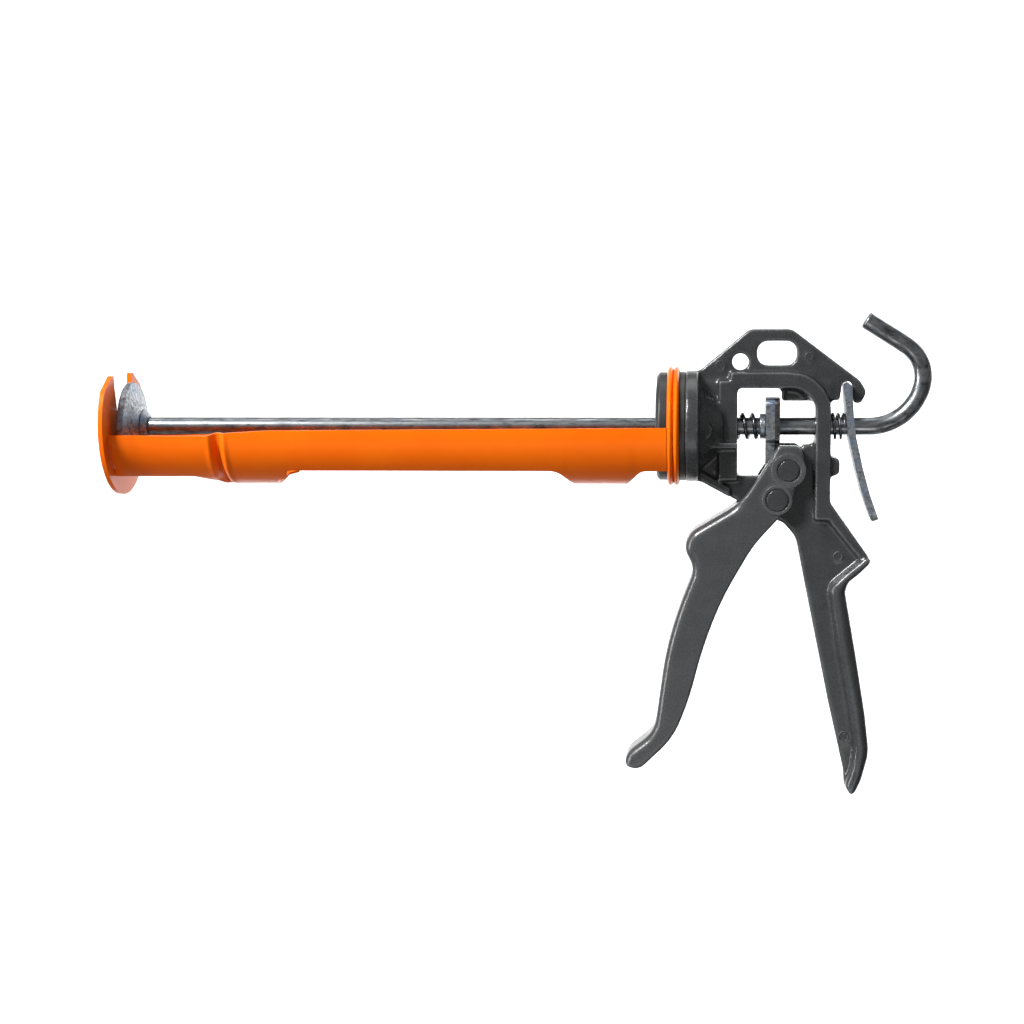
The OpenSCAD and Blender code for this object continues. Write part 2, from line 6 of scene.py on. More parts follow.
import bmesh
import bpy
import numpy as np
from bpy.types import Material, Node, NodeSocket, NodeTree, Object
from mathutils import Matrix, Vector


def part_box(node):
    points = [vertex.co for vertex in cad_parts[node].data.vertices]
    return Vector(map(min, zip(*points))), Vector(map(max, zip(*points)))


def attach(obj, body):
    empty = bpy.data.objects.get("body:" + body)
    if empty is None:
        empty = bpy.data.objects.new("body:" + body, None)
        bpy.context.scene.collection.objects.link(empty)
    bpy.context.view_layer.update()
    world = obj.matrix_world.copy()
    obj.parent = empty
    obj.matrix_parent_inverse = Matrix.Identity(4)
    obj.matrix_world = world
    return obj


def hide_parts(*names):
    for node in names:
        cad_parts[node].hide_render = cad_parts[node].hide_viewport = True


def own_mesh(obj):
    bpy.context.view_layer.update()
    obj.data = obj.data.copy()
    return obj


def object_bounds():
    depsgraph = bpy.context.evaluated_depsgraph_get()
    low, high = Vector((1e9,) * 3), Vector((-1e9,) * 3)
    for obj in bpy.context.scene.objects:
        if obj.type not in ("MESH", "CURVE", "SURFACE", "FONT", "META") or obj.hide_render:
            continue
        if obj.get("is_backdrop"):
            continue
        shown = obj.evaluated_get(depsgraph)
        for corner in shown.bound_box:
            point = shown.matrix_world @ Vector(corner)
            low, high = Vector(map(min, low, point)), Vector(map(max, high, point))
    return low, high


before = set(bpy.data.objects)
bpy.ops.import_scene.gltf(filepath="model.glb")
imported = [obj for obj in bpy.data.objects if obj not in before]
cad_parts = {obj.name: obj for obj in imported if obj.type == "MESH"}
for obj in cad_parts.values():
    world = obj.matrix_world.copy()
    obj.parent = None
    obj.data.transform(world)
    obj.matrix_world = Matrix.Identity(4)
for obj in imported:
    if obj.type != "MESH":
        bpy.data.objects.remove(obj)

log = logging.getLogger("caulking_gun")

MM = 0.001
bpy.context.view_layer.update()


# ---- sizes from the frame


def low(node: str) -> np.ndarray:
    """Lowest corner of a CAD node at rest, in millimetres."""
    return np.array(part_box(node)[0]) / MM


def high(node: str) -> np.ndarray:
    """Highest corner of a CAD node at rest, in millimetres."""
    return np.array(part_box(node)[1]) / MM


# The castings' outlines are measured from the back of the rear bush.
FRAME_X = float(high("rear_bush")[0])


# ---- curves and grids


def smooth_step(x: np.ndarray, start: float, end: float) -> np.ndarray:
    """Rises from 0 at start to 1 at end as 3t^2 - 2t^3, flat outside."""
    t = np.clip((x - start) / (end - start), 0.0, 1.0)
    return t * t * (3.0 - 2.0 * t)


def rounded_path(corners: list[tuple[float, float, float]], steps: int = 8,
                 closed: bool = True) -> np.ndarray:
    """A plane path whose corners are arcs.

    Each corner (x, z, r) is replaced by the arc of radius r that touches both of its sides.

    Args:
        corners: the path's corners with the radius of each.
        steps: points on each arc, less one.
        closed: whether the last corner joins the first.

    Returns:
        An array of points, one row each.
    """
    points = []
    count = len(corners)
    for i, (x, z, r) in enumerate(corners):
        here = np.array([x, z])
        if r == 0 or (not closed and i in (0, count - 1)):
            points.append(here[None])
            continue
        before = np.array(corners[i - 1][:2]) - here
        after = np.array(corners[(i + 1) % count][:2]) - here
        before /= np.linalg.norm(before)
        after /= np.linalg.norm(after)
        half = math.acos(float(np.clip(before @ after, -1, 1))) / 2
        middle = before + after
        centre = here + middle / np.linalg.norm(middle) * r / math.sin(half)
        first = here + before * r / math.tan(half) - centre
        last = here + after * r / math.tan(half) - centre
        a0 = math.atan2(first[1], first[0])
        turn = math.atan2(first[0] * last[1] - first[1] * last[0], first @ last)
        a = a0 + turn * np.linspace(0, 1, steps + 1)
        points.append(centre + r * np.column_stack([np.cos(a), np.sin(a)]))
    return np.vstack(points)


def grid_faces(rows: int, columns: int, wrap_rows: bool = False,
               wrap_columns: bool = False) -> np.ndarray:
    """Quads between neighbouring points of a rows by columns grid.

    Args:
        rows: number of rows of points.
        columns: number of points in each row.
        wrap_rows: whether the last row joins the first.
        wrap_columns: whether each row's last point joins its first.

    Returns:
        An array of four point numbers for each quad.
    """
    i = np.arange(rows if wrap_rows else rows - 1)[:, None]
    j = np.arange(columns if wrap_columns else columns - 1)[None, :]
    i1, j1 = (i + 1) % rows, (j + 1) % columns
    quads = np.stack(np.broadcast_arrays(i * columns + j, i * columns + j1,
                                         i1 * columns + j1, i1 * columns + j), axis=-1)
    return quads.reshape(-1, 4)


def circle(sides: int) -> np.ndarray:
    """Points of a unit circle, one row each."""
    a = 2 * np.pi * np.arange(sides) / sides
    return np.column_stack([np.cos(a), np.sin(a)])


# ---- meshes


def new_object(name: str, points: np.ndarray, faces: list) -> Object:
    """A mesh object at the origin, with its faces turned outwards.

    Args:
        name: the object's name.
        points: its points in millimetres, one row each.
        faces: the point numbers of each face.

    Returns:
        The new object.
    """
    mesh = bpy.data.meshes.new(name)
    mesh.from_pydata((np.asarray(points) * MM).tolist(), [], [list(map(int, f)) for f in faces])
    mesh.update()
    piece = bpy.data.objects.new(name, mesh)
    bpy.context.scene.collection.objects.link(piece)
    tidy_mesh(piece)
    return piece


def tidy_mesh(piece: Object, distance: float = 0.004) -> None:
    """Merges doubled points, drops faces with no area and turns the normals outwards.

    Args:
        piece: the object to tidy.
        distance: points closer than this, in millimetres, become one.
    """
    work = bmesh.new()
    work.from_mesh(piece.data)
    bmesh.ops.remove_doubles(work, verts=work.verts, dist=distance * MM)
    bmesh.ops.dissolve_degenerate(work, dist=0.2 * distance * MM, edges=work.edges)
    bmesh.ops.recalc_face_normals(work, faces=work.faces)
    work.to_mesh(piece.data)
    work.free()
    shade_smooth(piece)


def shade_smooth(piece: Object) -> None:
    """Smooth shading on every face."""
    piece.data.polygons.foreach_set("use_smooth", np.ones(len(piece.data.polygons), bool))


def sharpen(piece: Object, degrees: float = 40.0) -> None:
    """Marks edges sharper than an angle, so that shading breaks there."""
    piece.data.set_sharp_from_angle(angle=math.radians(degrees))


class Axis(Enum):
    """The line that a profile is turned about."""

    ROD = "along the rod"
    ACROSS = "across the gun"


def turned(name: str, profile: np.ndarray, sides: int = 128, axis: Axis = Axis.ROD,
           centre: tuple[float, float] = (0.0, 0.0)) -> Object:
    """A closed ring profile turned about an axis.

    The point (s, r) at angle a goes to (s, r cos a, r sin a) about the rod, or to
    (x + r cos a, s, z + r sin a) about a line across the gun through (x, z).

    Args:
        name: the object's name.
        profile: closed outline of (distance along the axis, radius) points.
        sides: steps of the full turn.
        axis: the line that it turns about.
        centre: X and Z of a line across the gun.

    Returns:
        The new object.
    """
    a = 2 * np.pi * np.arange(sides) / sides
    s = np.broadcast_to(profile[:, 0], (sides, len(profile)))
    r = profile[:, 1][None, :]
    u, v = r * np.cos(a)[:, None], r * np.sin(a)[:, None]
    rows = (s, u, v) if axis is Axis.ROD else (centre[0] + u, s, centre[1] + v)
    piece = new_object(name, np.stack(rows, axis=-1).reshape(-1, 3),
                       grid_faces(sides, len(profile), True, True))
    sharpen(piece, 50)
    return piece


def joined(name: str, pieces: list[Object]) -> Object:
    """One object that holds the meshes of several.

    Args:
        name: the new object's name.
        pieces: the objects that it takes in, which are removed.

    Returns:
        The new object.
    """
    points, faces, start = [], [], 0
    for piece in pieces:
        points.append(points_of(piece))
        faces += [[start + v for v in face.vertices] for face in piece.data.polygons]
        start += len(piece.data.vertices)
        bpy.data.objects.remove(piece)
    whole = new_object(name, np.vstack(points), faces)
    sharpen(whole, 50)
    return whole


def swept(name: str, centres: np.ndarray, out: np.ndarray, across: np.ndarray,
          sections: np.ndarray, keep_run: bool = False) -> Object:
    """A section carried along a path, closed by a fan at each end.

    The point (u, v) of a section goes to centre + u out + v across.

    Args:
        name: the object's name.
        centres: the path, one row a station.
        out: the section's first direction at each station.
        across: the section's second direction at each station.
        sections: the closed section at each station, as stations by points by 2.
        keep_run: whether to store each point's distance along the path.

    Returns:
        The new object.
    """
    n, m = sections.shape[:2]
    points = (centres[:, None] + sections[..., :1] * out[:, None]
              + sections[..., 1:] * across[:, None])
    walls = grid_faces(n, m, False, True)
    ends = [list(range(m))[::-1], [(n - 1) * m + j for j in range(m)]]
    faces = [list(f) for f in walls] + ends
    piece = new_object(name, points.reshape(-1, 3), faces)
    if keep_run:
        store_run(piece, centres)
    return piece


def store_run(piece: Object, centres: np.ndarray) -> None:
    """Stores each point's distance along a path, in metres, as the attribute run."""
    where = points_of(piece)
    run = np.concatenate([[0], np.cumsum(np.linalg.norm(np.diff(centres, axis=0), axis=1))])
    nearest = np.argmin(((where[:, None] - centres[None]) ** 2).sum(-1), axis=1)
    stored = piece.data.attributes.new("run", "FLOAT", "POINT")
    stored.data.foreach_set("value", (run[nearest] * MM).astype(np.float32))


def cad_copy(name: str, node: str) -> Object:
    """A copy of a CAD node with its loose triangles merged."""
    piece = bpy.data.objects.new(name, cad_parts[node].data.copy())
    piece.data.materials.clear()
    bpy.context.scene.collection.objects.link(piece)
    tidy_mesh(piece, 0.01)
    return piece


def eased(piece: Object, width: float, segments: int = 3, angle: float = 28.0) -> Object:
    """Rounds a piece's edges with a Bevel modifier.

    Args:
        piece: the object to round.
        width: width of the rounding, in millimetres.
        segments: faces across the rounding.
        angle: edges sharper than this, in degrees, are rounded.

    Returns:
        The same object.
    """
    sharpen(piece, angle)
    bevel = piece.modifiers.new("eased edges", "BEVEL")
    bevel.width = width * MM
    bevel.segments = segments
    bevel.limit_method = "ANGLE"
    bevel.angle_limit = math.radians(angle)
    bevel.harden_normals = True
    return piece


def points_of(piece: Object) -> np.ndarray:
    """A piece's points, in millimetres."""
    flat = np.empty(len(piece.data.vertices) * 3)
    piece.data.vertices.foreach_get("co", flat)
    return flat.reshape(-1, 3) / MM


def set_points(piece: Object, points: np.ndarray) -> None:
    """Writes a piece's points, given in millimetres."""
    piece.data.vertices.foreach_set("co", (points * MM).ravel())
    piece.data.update()


def remeshed(piece: Object, voxel: float) -> None:
    """Replaces a piece's mesh by an even skin of quads.

    Args:
        piece: the object to change.
        voxel: the quads' rough size, in millimetres.
    """
    skin = piece.modifiers.new("skin", "REMESH")
    skin.mode = "VOXEL"
    skin.voxel_size = voxel * MM
    depsgraph = bpy.context.evaluated_depsgraph_get()
    mesh = bpy.data.meshes.new_from_object(piece.evaluated_get(depsgraph))
    piece.modifiers.clear()
    piece.data = mesh
    shade_smooth(piece)


def relaxed(piece: Object, rounds: int, strength: float = 0.5) -> None:
    """Rounds edges and corners as a foundry pattern has them.

    Each round moves every point towards the mean of its neighbours: p + s (mean - p).

    Args:
        piece: the object to smooth.
        rounds: how many times the points move.
        strength: the share s of the way.
    """
    mesh = piece.data
    edges = np.empty(len(mesh.edges) * 2, np.int64)
    mesh.edges.foreach_get("vertices", edges)
    a, b = edges.reshape(-1, 2).T
    count = len(mesh.vertices)
    degree = np.bincount(np.concatenate([a, b]), minlength=count)[:, None]
    p = points_of(piece)
    for _ in range(rounds):
        total = np.column_stack([
            np.bincount(a, p[b, k], count) + np.bincount(b, p[a, k], count) for k in range(3)])
        p += strength * (total / np.maximum(degree, 1) - p)
    set_points(piece, p)


def nearest_on(path: np.ndarray, points: np.ndarray) -> np.ndarray:
    """The nearest points of an open plane path, worked out segment by segment.

    Args:
        path: the path's points, one row each.
        points: the points to start from, one row each.

    Returns:
        The path's nearest point to each, one row each.
    """
    start, step = path[:-1], np.diff(path, axis=0)
    best = np.full(len(points), np.inf)
    found = np.zeros_like(points)
    for s, d in zip(start, step):
        t = np.clip(((points - s) @ d) / (d @ d), 0, 1)[:, None]
        q = s + t * d
        gap = ((points - q) ** 2).sum(1)
        closer = gap < best
        best[closer] = gap[closer]
        found[closer] = q[closer]
    return found


# ---- finishes


def linear(hexa: str) -> tuple[float, float, float, float]:
    """A linear RGBA colour from an sRGB hex value such as '#F07A1A'."""
    parts = [int(hexa[i:i + 2], 16) / 255 for i in (1, 3, 5)]
    return (*[c / 12.92 if c <= 0.04045 else ((c + 0.055) / 1.055) ** 2.4 for c in parts], 1.0)


def set_inputs(tree: NodeTree, node: Node, inputs: dict) -> None:
    """Links a node's inputs to sockets, or sets them to values.

    Args:
        tree: the material's node tree.
        node: the node whose inputs are set.
        inputs: a socket or a value for each input, by name with _ for a space, or by its
            number after an i where names repeat.
    """
    for key, value in inputs.items():
        at = int(key[1:]) if key[0] == "i" and key[1:].isdigit() else key.replace("_", " ")
        if isinstance(value, NodeSocket):
            tree.links.new(value, node.inputs[at])
        else:
            node.inputs[at].default_value = value


def add(tree: NodeTree, kind: str, settings: dict | None = None, **inputs) -> Node:
    """Adds a shader node with its settings, and links or sets its inputs.

    Args:
        tree: the material's node tree.
        kind: the node's type without its ShaderNode prefix.
        settings: the node's own properties, and stops as (position, colour) pairs.
        inputs: its inputs, as set_inputs takes them.

    Returns:
        The new node.
    """
    node = tree.nodes.new("ShaderNode" + kind)
    for key, value in (settings or {}).items():
        if key != "stops":
            setattr(node, key, value)
            continue
        for element, (position, colour) in zip(node.color_ramp.elements, value):
            element.position, element.color = position, colour
    set_inputs(tree, node, inputs)
    return node


def grey(value: float) -> tuple[float, float, float, float]:
    """A neutral colour of one value."""
    return (value, value, value, 1.0)


def start_material(name: str) -> tuple[Material, NodeTree, Node, NodeSocket]:
    """A new node material, its tree, its shader and its Object coordinates."""
    material = bpy.data.materials.new(name)
    material.use_nodes = True
    tree = material.node_tree
    shader = tree.nodes["Principled BSDF"]
    place = add(tree, "TexCoord").outputs["Object"]
    return material, tree, shader, place


@dataclass(frozen=True)
class PowderCoat:
    """Polyester powder baked on pressed steel: glossy, even, with a shallow orange peel."""

    name: str = "orange_powder_coat"
    colour: str = "#EE6A0B"
    shade: str = "#E86109"
    sheen: str = "#FFB060"
    peel_mm: float = 1.6
    cloud_mm: float = 30.0

    def material(self) -> Material:
        """Builds the paint: faint clouding, slightly uneven gloss and the peel as bump."""
        material, tree, shader, place = start_material(self.name)
        cloud = add(tree, "TexNoise", Vector=place, Scale=1000 / self.cloud_mm, Detail=3.0,
                    Roughness=0.5).outputs["Fac"]
        tones = [(0.3, linear(self.shade)), (0.7, linear(self.colour))]
        colour = add(tree, "ValToRGB", {"stops": tones}, Fac=cloud).outputs["Color"]
        peel = add(tree, "TexNoise", Vector=place, Scale=1000 / self.peel_mm,
                   Detail=1.5).outputs["Fac"]
        gloss = add(tree, "ValToRGB", {"stops": [(0.3, grey(0.28)), (0.75, grey(0.36))]},
                    Fac=peel).outputs["Color"]
        bump = add(tree, "Bump", Height=peel, Strength=0.05, Distance=0.0003)
        set_inputs(tree, shader, {
            "Base Color": colour, "Roughness": gloss, "Normal": bump.outputs["Normal"],
            "IOR": 1.5, "Specular IOR Level": 0.2, "Specular Tint": linear(self.sheen),
            "Coat Weight": 0.04, "Coat Roughness": 0.15})
        return material


@dataclass(frozen=True)
class CastPaint:
    """Dark grey stoving paint on a die casting: semi-gloss over the casting's fine skin."""

    name: str = "grey_stoving_paint"
    colour: str = "#3E3F40"
    dull: str = "#38393A"
    # Colour of the paler edges: worn paint and a painted highlight.
    wear_and_highlight: str = "#707376"
    skin_mm: float = 1.1
    flow_mm: float = 9.0

    def material(self) -> Material:
        """Builds the paint: flow marks, a fine cast skin as bump and edges paler, as wear and
        painted highlight.
        """
        material, tree, shader, place = start_material(self.name)
        flow = add(tree, "TexNoise", Vector=place, Scale=1000 / self.flow_mm, Detail=4.0,
                   Roughness=0.6).outputs["Fac"]
        tones = [(0.32, linear(self.dull)), (0.68, linear(self.colour))]
        base = add(tree, "ValToRGB", {"stops": tones}, Fac=flow).outputs["Color"]
        skin = add(tree, "TexNoise", Vector=place, Scale=1000 / self.skin_mm, Detail=2.5,
                   Roughness=0.6).outputs["Fac"]
        # Sharp edges turn paler: partly real wear, partly a painted highlight along the edges.
        point = add(tree, "NewGeometry").outputs["Pointiness"]
        edge = add(tree, "ValToRGB", {"stops": [(0.512, grey(0)), (0.555, grey(1))]},
                   Fac=point).outputs["Color"]
        wear_and_highlight_mask = add(tree, "Math", {"operation": "MULTIPLY"}, i0=edge, i1=flow)
        colour = add(tree, "Mix", {"data_type": "RGBA"}, i0=wear_and_highlight_mask.outputs[0], i6=base,
                     i7=linear(self.wear_and_highlight)).outputs[2]
        gloss = add(tree, "ValToRGB", {"stops": [(0.3, grey(0.24)), (0.8, grey(0.36))]},
                    Fac=skin).outputs["Color"]
        bump = add(tree, "Bump", Height=skin, Strength=0.16, Distance=0.0004)
        set_inputs(tree, shader, {
            "Base Color": colour, "Roughness": gloss, "Normal": bump.outputs["Normal"],
            "IOR": 1.5, "Coat Weight": 0.15, "Coat Roughness": 0.25})
        return material


@dataclass(frozen=True)
class Nylon:
    """Moulded black nylon: nearly black, satin, with a fine spark-eroded grain."""

    name: str = "black_nylon"
    colour: str = "#1B1C1C"
    pale: str = "#262827"
    grain_mm: float = 0.9

    def material(self) -> Material:
        """Builds the plastic: an even dark body with its grain in colour, gloss and bump."""
        material, tree, shader, place = start_material(self.name)
        grain = add(tree, "TexNoise", Vector=place, Scale=1000 / self.grain_mm,
                    Detail=2.0).outputs["Fac"]
        tones = [(0.3, linear(self.colour)), (0.8, linear(self.pale))]
        colour = add(tree, "ValToRGB", {"stops": tones}, Fac=grain).outputs["Color"]
        gloss = add(tree, "ValToRGB", {"stops": [(0.3, grey(0.38)), (0.8, grey(0.5))]},
                    Fac=grain).outputs["Color"]
        bump = add(tree, "Bump", Height=grain, Strength=0.15, Distance=0.0003)
        set_inputs(tree, shader, {"Base Color": colour, "Roughness": gloss,
                                  "Normal": bump.outputs["Normal"], "IOR": 1.53})
        return material


class Grain(Enum):
    """Which way a metal's drawing or rolling marks run."""

    EVEN = "even"
    RUN = "run"


@dataclass(frozen=True)
class Plated:
    """Steel with a thin zinc coat or a plain oiled skin: bright, cloudy and streaked."""

    name: str
    light: str
    dark: str
    tint: str
    rough: tuple[float, float] = (0.22, 0.45)
    grain: Grain = Grain.EVEN
    streak_mm: float = 0.8
    length_mm: float = 30.0
    cloud_mm: float = 7.0

    def material(self) -> Material:
        """Builds the metal: clouds of tint, streaks along the drawing way and fine scratches."""
        material, tree, shader, place = start_material(self.name)
        across, along = 1000 / self.streak_mm, 1000 / self.length_mm
        where, scale = place, (along * 4, across * 0.7, across * 0.7)
        if self.grain is Grain.RUN:
            run = add(tree, "Attribute", {"attribute_name": "run"}).outputs["Fac"]
            split = add(tree, "SeparateXYZ", Vector=place)
            where = add(tree, "CombineXYZ", X=run, Y=split.outputs["Y"],
                        Z=split.outputs["Z"]).outputs["Vector"]
            scale = (along, across, across * 0.25)
        stretched = add(tree, "Mapping", Vector=where, Scale=scale).outputs["Vector"]
        streak = add(tree, "TexNoise", Vector=stretched, Scale=1.0, Detail=4.0,
                     Roughness=0.65).outputs["Fac"]
        cloud = add(tree, "TexNoise", Vector=place, Scale=1000 / self.cloud_mm,
                    Detail=3.0).outputs["Fac"]
        tones = [(0.34, linear(self.dark)), (0.62, linear(self.light))]
        metal = add(tree, "ValToRGB", {"stops": tones}, Fac=streak).outputs["Color"]
        tint = add(tree, "ValToRGB", {"stops": [(0.5, grey(0)), (0.72, grey(0.6))]},
                   Fac=cloud).outputs["Color"]
        colour = add(tree, "Mix", {"data_type": "RGBA"}, i0=tint, i6=metal,
                     i7=linear(self.tint)).outputs[2]
        polish = [(0.3, grey(self.rough[1])), (0.7, grey(self.rough[0]))]
        gloss = add(tree, "ValToRGB", {"stops": polish}, Fac=streak).outputs["Color"]
        bump = add(tree, "Bump", Height=streak, Strength=0.12, Distance=0.0002)
        set_inputs(tree, shader, {"Base Color": colour, "Roughness": gloss,
                                  "Normal": bump.outputs["Normal"], "Metallic": 1.0})
        return material


@dataclass
class Finishes:
    """Every finish of the gun: each slot's usual one, and the frame's darker paint, which is
    painted shade.
    """

    slots: dict[str, Material] = field(default_factory=dict)

    def __post_init__(self) -> None:
        """Builds each finish once."""
        finishes = {
            "orange_paint": PowderCoat(),
            "grey_paint": CastPaint(),
            # Painted shade: the same grey paint made darker for the frame, which sits deeper in
            # shadow than the trigger.
            "shaded_frame_paint": CastPaint("grey_stoving_paint_painted_shade", "#353637", "#2D2E2F", "#74777A"),
            "painted_rivet": CastPaint("grey_painted_rivet", "#303132", "#2B2C2D", "#303132", 0.8),
            "black_plastic": Nylon(),
            "rod_steel": Plated("zinc_plated_bar", "#9C9FA2", "#46494C", "#757C84",
                                rough=(0.24, 0.42), grain=Grain.RUN, streak_mm=1.0,
                                length_mm=9.0),
            "zinc_plate": Plated("zinc_plated_sheet", "#A7ABAF", "#64686C", "#8497B6",
                                 rough=(0.38, 0.56), streak_mm=1.0, length_mm=8.0),
            "steel": Plated("oiled_steel", "#747473", "#363635", "#55504A",
                            rough=(0.3, 0.5), streak_mm=0.9, length_mm=10.0),
            "spring_steel": Plated("tempered_spring_wire", "#707175", "#2C2D30", "#3C3E44",
                                   rough=(0.25, 0.42), streak_mm=0.7, length_mm=6.0),
        }
        self.slots = {slot: finish.material() for slot, finish in finishes.items()}


FINISHES = Finishes()


def place_piece(piece: Object, body: str, slot: str, *nodes: str, finish: str = "") -> None:
    """Rides a piece on its body, dresses it and lets it stand for its CAD nodes.

    Args:
        piece: the finished piece.
        body: the CAD body that it moves with.
        slot: the record's material slot.
        nodes: the CAD nodes that it replaces.
        finish: the finish, where it isn't the slot's usual one.
    """
    piece.data.materials.clear()
    piece.data.materials.append(FINISHES.slots[finish or slot])
    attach(piece, body)
    if nodes:
        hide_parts(*nodes)
    log.info("piece %s on %s: %d faces", piece.name, body, len(piece.data.polygons))


def place_eased(name: str, node: str, width: float, segments: int, body: str, slot: str) -> None:
    """Places a CAD node's own shape with its edges rounded by a width in millimetres."""
    place_piece(eased(cad_copy(name, node), width, segments), body, slot, node)


# ---- cradle


@dataclass
class Cradle:
    """The swivelling open cradle: trough, front plate, rear ring and end plate."""

    radius: float = 26.3
    sheet: float = 1.2
    front_step: float = 0.8
    edge_front: float = -2.6
    edge_mid: float = 0.0
    edge_rear: float = 1.3
    front_rail: float = -22.7
    rail: float = -18.7
    crease: float = 49.3
    crease_depth: float = 3.0
    crease_width: float = 1.5
    lip_width: float = 1.4
    weld_out: float = 1.2
    bridge_len: float = 23.3
    blend: float = 7.0

    def __post_init__(self) -> None:
        """Takes the lengths that follow the frame."""
        self.length = float(high("cradle_trough")[0])
        self.end1 = self.crease + self.bridge_len
        self.bridge2 = self.length - 41.9
        self.end2 = self.bridge2 + self.bridge_len

    def lower_edges(self) -> list[np.ndarray]:
        """The rails' lower edge as three rounded lines, with the bridges between them."""
        bottom, rail, end1 = 0.02 - self.radius, self.rail, self.end1
        front = [(-2, self.front_rail, 0), (self.crease - 13, self.front_rail, 10),
                 (self.crease - 0.6, bottom, 0)]
        middle = [(end1 + 0.3, bottom, 0), (end1 + 1.6, bottom + 2.6, 1),
                  (end1 + 5.6, bottom + 3.4, 1.2), (end1 + 7.4, rail, 1.6),
                  (self.bridge2 - self.blend, rail, 9), (self.bridge2, bottom, 0)]
        rear = [(self.end2, bottom, 0), (self.end2 + self.blend, rail, 6),
                (self.length + 2, rail, 0)]
        return [rounded_path(line, 8, False) for line in (front, middle, rear)]

    def stations(self, edges: list[np.ndarray]) -> np.ndarray:
        """Places along the trough for its grid: closer at the crease and at each corner."""
        corners = np.concatenate([edge[:, 0] for edge in edges])
        ends = np.concatenate([edge[[0, -1], 0] for edge in edges])
        x = np.concatenate([np.linspace(0, self.length, 110), corners, ends - 0.06, ends + 0.06,
                            np.linspace(self.crease - 9, self.crease + 9, 61),
                            np.linspace(0, 6, 9)])
        x = np.unique(np.round(np.clip(x, 0, self.length), 2))
        return x[np.concatenate([[True], np.diff(x) > 0.04])]

    def trough(self) -> None:
        """The pressed trough: a half pipe whose radius steps at a sharp crease.

        For each side, the point at x and angle a, from the top edge down to the lower edge,
        is (x, +-r cos a, r sin a). The radius r(x, t) rises by a smooth step behind the
        crease, earlier towards the lower edge, and dips by depth exp(-((x - crease) / w)^2),
        with w widening towards both edges, between two low lips. The sheet's front edge
        steps back where the front plate is welded on. The sheet then gets its thickness
        inwards and a small round on its cut edges.
        """
        edges = self.lower_edges()
        x = self.stations(edges)
        low_z = np.full_like(x, -self.radius)
        for edge in edges:
            inside = (x >= edge[0, 0]) & (x <= edge[-1, 0])
            low_z[inside] = np.interp(x[inside], edge[:, 0], edge[:, 1])
        top = rounded_path([(-1, self.edge_front, 0), (self.crease - 4, self.edge_front, 1),
                            (self.crease + 1, self.edge_front + 1.2, 2),
                            (self.end1, self.edge_mid, 20),
                            (self.length + 1, self.edge_rear, 0)], 8, False)
        top_z = np.interp(x, top[:, 0], top[:, 1])
        x = x[:, None]
        t = np.linspace(0, 1, 36)[None, :]
        a_top = np.arcsin(top_z / self.radius)[:, None]
        a = a_top + (np.arcsin(low_z / self.radius)[:, None] - a_top) * t
        spread = np.abs(2 * t - 0.9)
        width = self.crease_width + 1.3 * spread ** 2
        gap = x - self.crease
        dip = (self.crease_depth * np.exp(-(gap / width) ** 2) * (1 - 0.45 * spread ** 3)
               * (1 - smooth_step(t, 0.86, 1.0)))
        lip = (0.45 * np.exp(-((gap - 3.8) / self.lip_width) ** 2)
               + 0.35 * np.exp(-((gap + 3.4) / self.lip_width) ** 2))
        early = 4.2 * smooth_step(t, 0.55, 1.0)
        r = (self.radius - self.front_step * (1 - smooth_step(gap + early, 0.0, 4.0))
             - dip + lip * (1 - smooth_step(t, 0.8, 1.0)))
        height = -r * np.sin(a)
        weld = smooth_step(height, 5, 7.5) * (1 - smooth_step(height, 18, 20))
        along = x + self.weld_out * weld * np.clip(1 - x / 6, 0, 1)
        points, faces = [], []
        for side in (-1, 1):
            shell = np.stack([along, side * r * np.cos(a), r * np.sin(a)], axis=-1)
            quads = grid_faces(*a.shape)
            faces.append((quads if side > 0 else quads[:, ::-1]) + a.size * len(points))
            points.append(shell.reshape(-1, 3))
        piece = new_object("cradle_trough_sheet", np.vstack(points), np.vstack(faces))
        point_out(piece)
        wall = piece.modifiers.new("sheet", "SOLIDIFY")
        wall.thickness = self.sheet * MM
        wall.offset = -1
        wall.use_even_offset = False
        eased(piece, 0.3, 2, 60)
        place_piece(piece, "cradle", "orange_paint", "cradle_trough")

    def ring(self) -> None:
        """The rear ring: two round beads with a groove between, turned about the rod's axis.

        The outer radius is base + height |sin|^0.75 over two half waves along the ring.
        """
        lo, hi = low("rear_ring"), high("rear_ring")
        inner = self.radius - self.sheet - 0.2
        base = self.radius - 0.9
        t = np.linspace(0, 1, 41)
        outer = base + (hi[2] - base) * np.abs(np.sin(2 * np.pi * t)) ** 0.75
        x = lo[0] + (hi[0] - lo[0]) * t
        profile = np.vstack([np.column_stack([x, outer]),
                             [[hi[0], inner], [lo[0], inner]]])
        place_piece(turned("cradle_ring", profile), "cradle", "orange_paint", "rear_ring")

    def plates(self) -> None:
        """The front plate with its rounded cut edge, and the end plate inside the ring."""
        place_eased("front_plate_pressing", "front_plate", 0.75, 4, "cradle", "orange_paint")
        place_eased("end_plate_pressing", "cradle_end_plate", 0.3, 2, "cradle", "orange_paint")

    def build(self) -> None:
        """Makes every piece of the cradle."""
        self.trough()
        self.ring()
        self.plates()


def point_out(piece: Object) -> None:
    """Turns an open shell round the rod's axis so that its faces point away from the axis."""
    faces = piece.data.polygons
    centre, normal = np.empty(len(faces) * 3), np.empty(len(faces) * 3)
    faces.foreach_get("center", centre)
    faces.foreach_get("normal", normal)
    if (centre.reshape(-1, 3)[:, 1:] * normal.reshape(-1, 3)[:, 1:]).sum() < 0:
        piece.data.flip_normals()


# ---- swivel


